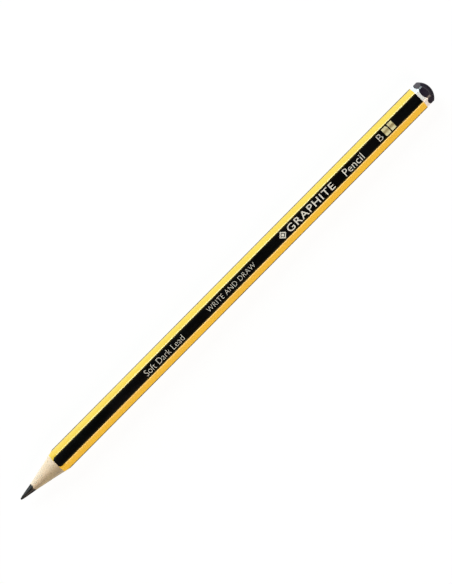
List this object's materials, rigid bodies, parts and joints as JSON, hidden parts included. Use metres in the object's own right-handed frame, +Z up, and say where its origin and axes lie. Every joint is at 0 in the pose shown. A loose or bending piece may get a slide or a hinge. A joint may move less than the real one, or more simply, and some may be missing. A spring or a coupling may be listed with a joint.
{
  "type": "graphite pencil",
  "caption": "Hexagonal graphite pencil with a yellow and black skin, a sharpened point and a black and white dipped end.",
  "frame": {"origin": "middle of the pencil's length and width, on the surface that its lower black face rests on", "axes": "+X along the pencil from the point to the dipped end, +Y to the left across the flats, +Z up through the printed black face"},
  "size_m": [0.175, 0.0078, 0.007],
  "materials": {
    "graphite": "dull, fine striations from sharpening, slight metallic sheen",
    "wood_composite": "matt, pressed wood fibre, sharpening marks round the cone",
    "yellow_skin": "satin, faint waviness along the barrel",
    "black_skin": "satin, fine handling marks",
    "edge_print": "thin printed line, slightly broken",
    "white_dip": "gloss dip lacquer with a soft lip",
    "dark_dip": "gloss dip lacquer with a rounded, lobed border",
    "silver_foil": "stamped satin foil, slightly worn",
    "cream_foil": "stamped matt foil, slightly worn"
  },
  "bodies": {
    "root": {"lead_core": "graphite", "wood_casing": "wood_composite", "black_skin_top": "black_skin", "black_skin_bottom": "black_skin", "yellow_skin_left": "yellow_skin", "yellow_skin_right": "yellow_skin", "edge_line_left": "edge_print", "edge_line_right": "edge_print", "white_dip_coat": "white_dip", "black_dip_cap": "dark_dip", "foil_lead_note": "silver_foil", "foil_use_line": "silver_foil", "foil_emblem": "silver_foil", "foil_large_word": "silver_foil", "foil_small_word": "silver_foil", "foil_grade_letter": "silver_foil", "foil_block_a": "cream_foil", "foil_block_b": "cream_foil"}
  },
  "joints": []
}
